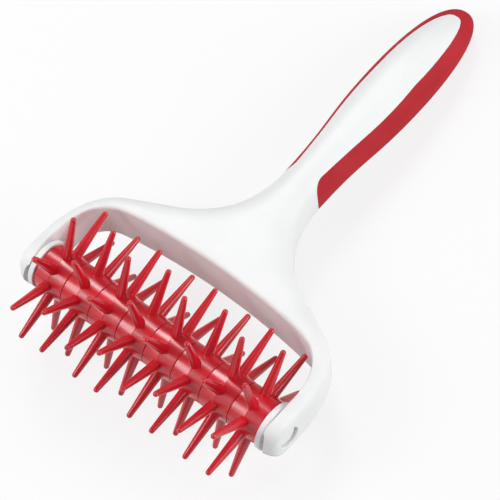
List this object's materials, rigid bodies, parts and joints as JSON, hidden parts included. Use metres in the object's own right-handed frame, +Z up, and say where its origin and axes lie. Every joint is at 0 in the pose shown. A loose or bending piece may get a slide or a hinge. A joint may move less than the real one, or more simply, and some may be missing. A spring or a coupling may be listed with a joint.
{
  "type": "dough docker",
  "caption": "Hand-held dough docker: spiked red plastic rings on a hexagonal shaft turn between the arms of a white moulded fork, whose handle carries a soft red grip band.",
  "frame": {"origin": "centre of the bounding box's bottom, on the table that the spikes and the handle rest on", "axes": "+X along the roller axis, +Y from the roller towards the handle's butt, +Z up from the table"},
  "size_m": [0.1222, 0.2036, 0.055],
  "materials": {
    "white_plastic": "gloss",
    "red_plastic": "gloss",
    "soft_grip": "satin"
  },
  "bodies": {
    "handle": {"fork_handle": "white_plastic", "grip_band": "soft_grip"},
    "roller": {"hex_shaft": "white_plastic", "thrust_disc_left": "white_plastic", "thrust_disc_right": "white_plastic", "spiked_ring_1": "red_plastic", "spiked_ring_2": "red_plastic", "spiked_ring_3": "red_plastic", "spiked_ring_4": "red_plastic", "spiked_ring_5": "red_plastic", "spiked_ring_6": "red_plastic", "spiked_ring_7": "red_plastic", "spiked_ring_8": "red_plastic"}
  },
  "joints": [
    {"name": "roller_spin", "type": "hinge", "parent": "handle", "child": "roller", "pos_m": [0, -0.07427, 0.0275], "axis": [1, 0, 0], "continuous": true}
  ]
}
